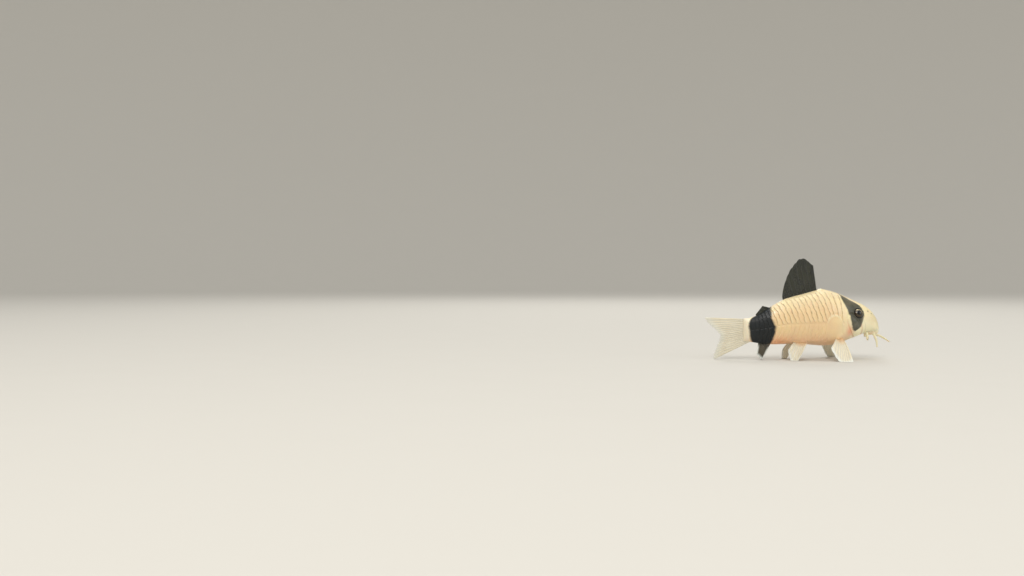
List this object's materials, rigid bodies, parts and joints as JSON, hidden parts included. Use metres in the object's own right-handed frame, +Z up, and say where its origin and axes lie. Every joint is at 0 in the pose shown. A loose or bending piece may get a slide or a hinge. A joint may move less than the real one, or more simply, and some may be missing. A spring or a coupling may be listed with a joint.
{
  "type": "panda corydoras catfish",
  "caption": "Small armoured catfish resting on its paired fins, with raised dorsal fin, barbels, eyes, forked tail fin and rows of bony scutes.",
  "frame": {"origin": "on the floor, under the middle of the outline", "axes": "+X to the snout, +Y to the fish's left side, +Z up"},
  "size_m": [0.0554, 0.0214, 0.0287],
  "materials": {
    "skin_head": "moist skin, peach to cream, with a black mask across each eye",
    "skin_flank": "moist bony scutes, peach to cream, pinker along the belly",
    "skin_tail": "moist bony scutes under one round black blotch",
    "eye": "wet, black pupil in a dark golden iris",
    "fin_black": "black membrane with a thin clear rim",
    "fin_smoky": "smoky membrane with a clear rim",
    "fin_clear": "milky clear membrane over pale rays",
    "barbel": "moist cream flesh"
  },
  "bodies": {
    "root": {"head": "skin_head", "trunk": "skin_flank", "tail": "skin_tail", "eye_left": "eye", "eye_right": "eye", "fin_dorsal": "fin_black", "fin_adipose": "fin_black", "fin_anal": "fin_smoky", "fin_tail_upper": "fin_clear", "fin_tail_lower": "fin_clear", "fin_pectoral_left": "fin_clear", "fin_pectoral_right": "fin_clear", "fin_pelvic_left": "fin_clear", "fin_pelvic_right": "fin_clear", "barbel_upper_right": "barbel", "barbel_upper_left": "barbel", "barbel_lower_right": "barbel", "barbel_lower_left": "barbel", "barbel_chin_right": "barbel", "barbel_chin_left": "barbel"}
  },
  "joints": []
}
